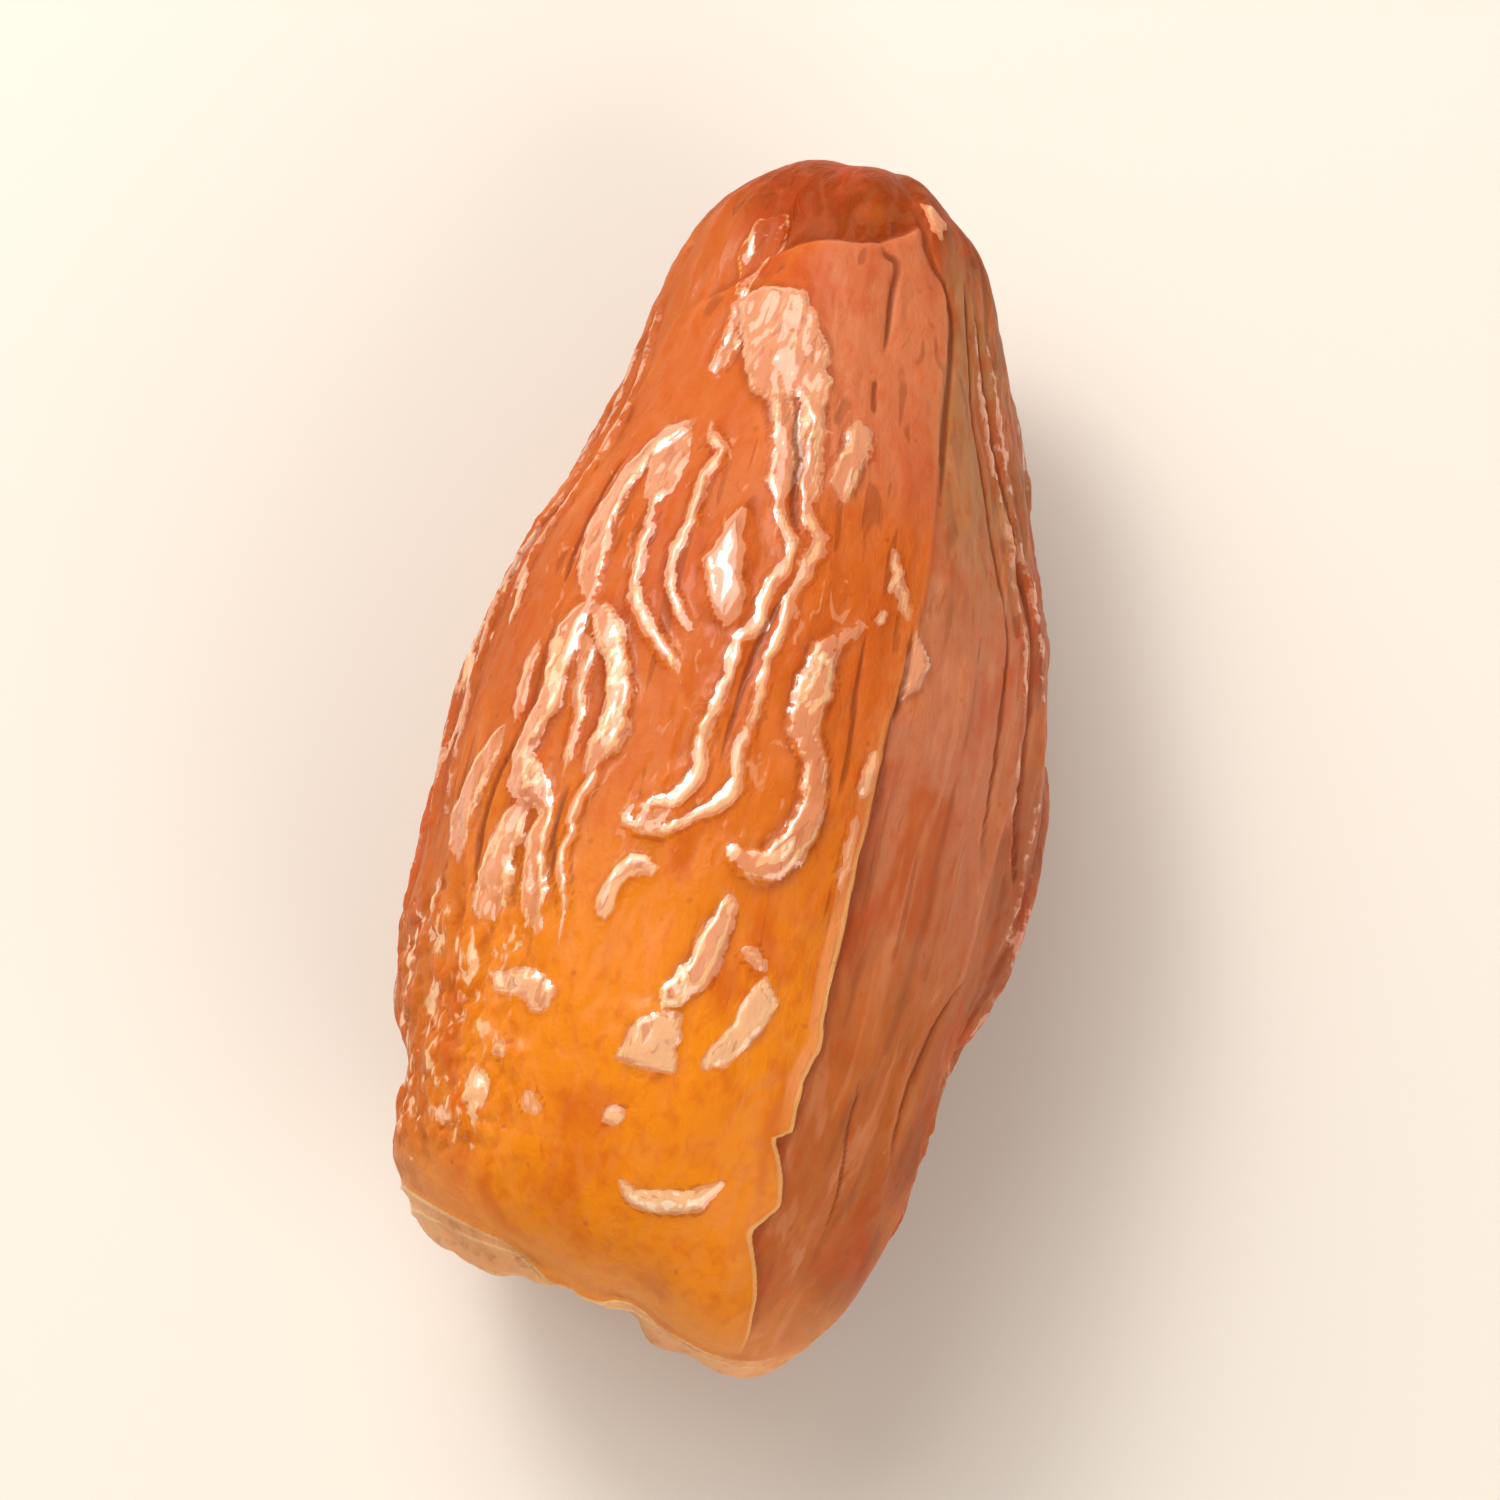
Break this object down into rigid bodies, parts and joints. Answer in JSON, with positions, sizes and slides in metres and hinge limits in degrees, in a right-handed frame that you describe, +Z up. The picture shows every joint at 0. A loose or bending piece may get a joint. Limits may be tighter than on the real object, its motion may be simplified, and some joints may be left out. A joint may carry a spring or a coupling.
{
  "type": "date fruit",
  "caption": "Dried deglet noor date lying on its side, with long wrinkled folds, a tapered smooth tip and a blunt slanted stem end.",
  "frame": {"origin": "on the surface that the fruit lies on, below the middle of its bounding box", "axes": "+Z up, -Y towards the blunt stem end, +Y towards the narrow tip, +X to the right with the tip pointing away"},
  "size_m": [0.0202, 0.0406, 0.0171],
  "materials": {
    "date_skin": "satin to glossy, moist"
  },
  "bodies": {
    "root": {"date": "date_skin"}
  },
  "joints": []
}
